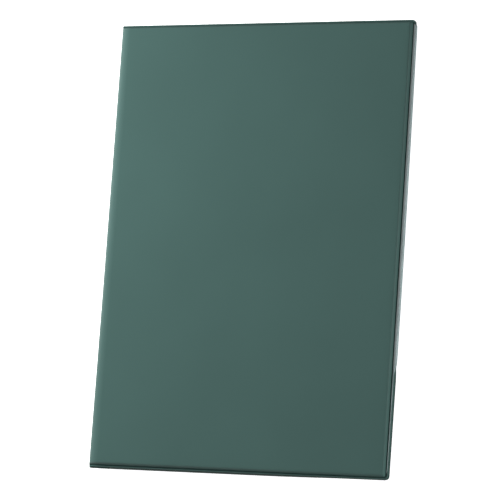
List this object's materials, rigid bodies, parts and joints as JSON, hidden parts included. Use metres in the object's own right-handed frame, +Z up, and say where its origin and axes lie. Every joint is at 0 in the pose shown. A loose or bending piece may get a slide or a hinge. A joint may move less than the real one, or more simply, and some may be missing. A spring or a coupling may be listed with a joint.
{
  "type": "menu cover",
  "caption": "Padded vinyl A4 menu cover with a soft rolled spine, a welded rim and clear pockets inside; it opens flat like a book.",
  "frame": {"origin": "middle of the back cover's lower face, at the centre of the closed book's box", "axes": "+X from the spine to the fore edge, +Y up the page to the head, +Z up from the table through the front cover"},
  "size_m": [0.218, 0.31, 0.0089],
  "materials": {
    "green_vinyl": "satin soft vinyl",
    "lining_vinyl": "matte soft vinyl",
    "clear_film": "clear glossy film",
    "greyboard": "plain board",
    "foam": "soft foam"
  },
  "bodies": {
    "back_cover": {"back_skin": "green_vinyl", "back_foam": "foam", "back_board": "greyboard", "back_lining": "lining_vinyl", "back_pocket": "clear_film"},
    "spine": {"spine_skin": "green_vinyl", "spine_lining": "lining_vinyl"},
    "front_cover": {"front_skin": "green_vinyl", "front_foam": "foam", "front_board": "greyboard", "front_lining": "lining_vinyl", "front_pocket": "clear_film"}
  },
  "joints": [
    {"name": "back_fold", "type": "hinge", "parent": "back_cover", "child": "spine", "pos_m": [-0.1073, 0, 0.00171], "axis": [0, -1, 0], "range_deg": [0, 90]},
    {"name": "front_fold", "type": "hinge", "parent": "spine", "child": "front_cover", "pos_m": [-0.1073, 0, 0.00719], "axis": [0, -1, 0], "range_deg": [0, 90]}
  ],
  "couplings": [
    {"joint": "front_fold", "follows": "back_fold", "ratio": 1}
  ]
}
